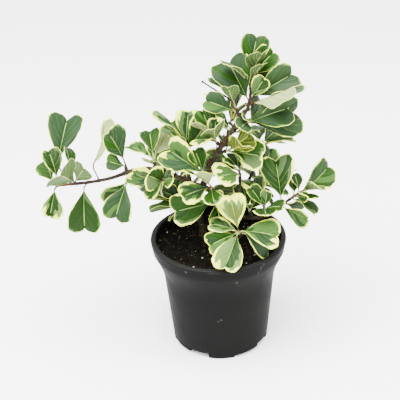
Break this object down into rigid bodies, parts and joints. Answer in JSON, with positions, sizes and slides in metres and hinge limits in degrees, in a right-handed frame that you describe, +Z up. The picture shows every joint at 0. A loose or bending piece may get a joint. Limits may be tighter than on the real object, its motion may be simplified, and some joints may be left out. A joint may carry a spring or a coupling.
{
  "type": "potted variegated triangle fig",
  "caption": "Young broadleaf shrub with wedge-shaped green, grey-green and cream leaves on arching stems, in a round black nursery pot with potting mix",
  "frame": {"origin": "middle of the pot's flat underside, on the surface that the pot stands on", "axes": "+Z up, +X to the right and -Y to the front as the plant is usually seen"},
  "size_m": [0.2639, 0.1416, 0.2765],
  "materials": {
    "pot": "satin black moulded plastic with fine scuffs and dust",
    "potting_mix": "moist dark brown potting mix with bark bits and pale perlite grains",
    "bark": "grey-brown young bark with leaf scars, pores and reddish brown shoots",
    "leaf": "leathery leaf, dark green and grey-green zones inside a broad cream margin, matte pale underside"
  },
  "bodies": {
    "root": {"back_bough": "bark", "back_stem": "bark", "centre_bough": "bark", "front_bough": "bark", "left_bough": "bark", "main_stem": "bark", "pot": "pot", "potting_mix": "potting_mix", "right_bough": "bark", "sprig_back_high": "leaf", "sprig_back_left": "leaf", "sprig_back_low": "leaf", "sprig_back_mid": "leaf", "sprig_back_right": "leaf", "sprig_back_side": "leaf", "sprig_back_top": "leaf", "sprig_bough_under": "leaf", "sprig_centre": "leaf", "sprig_fork": "leaf", "sprig_fork_front": "leaf", "sprig_front": "leaf", "sprig_left_end": "leaf", "sprig_left_top": "leaf", "sprig_left_under": "leaf", "sprig_mid_left": "leaf", "sprig_middle_left": "leaf", "sprig_middle_right": "leaf", "sprig_right_dark": "leaf", "sprig_right_end": "leaf", "sprig_right_low": "leaf", "sprig_rim_left": "leaf", "sprig_top": "leaf", "sprig_top_left": "leaf", "sprig_top_right": "leaf", "upper_bough": "bark"}
  },
  "joints": []
}
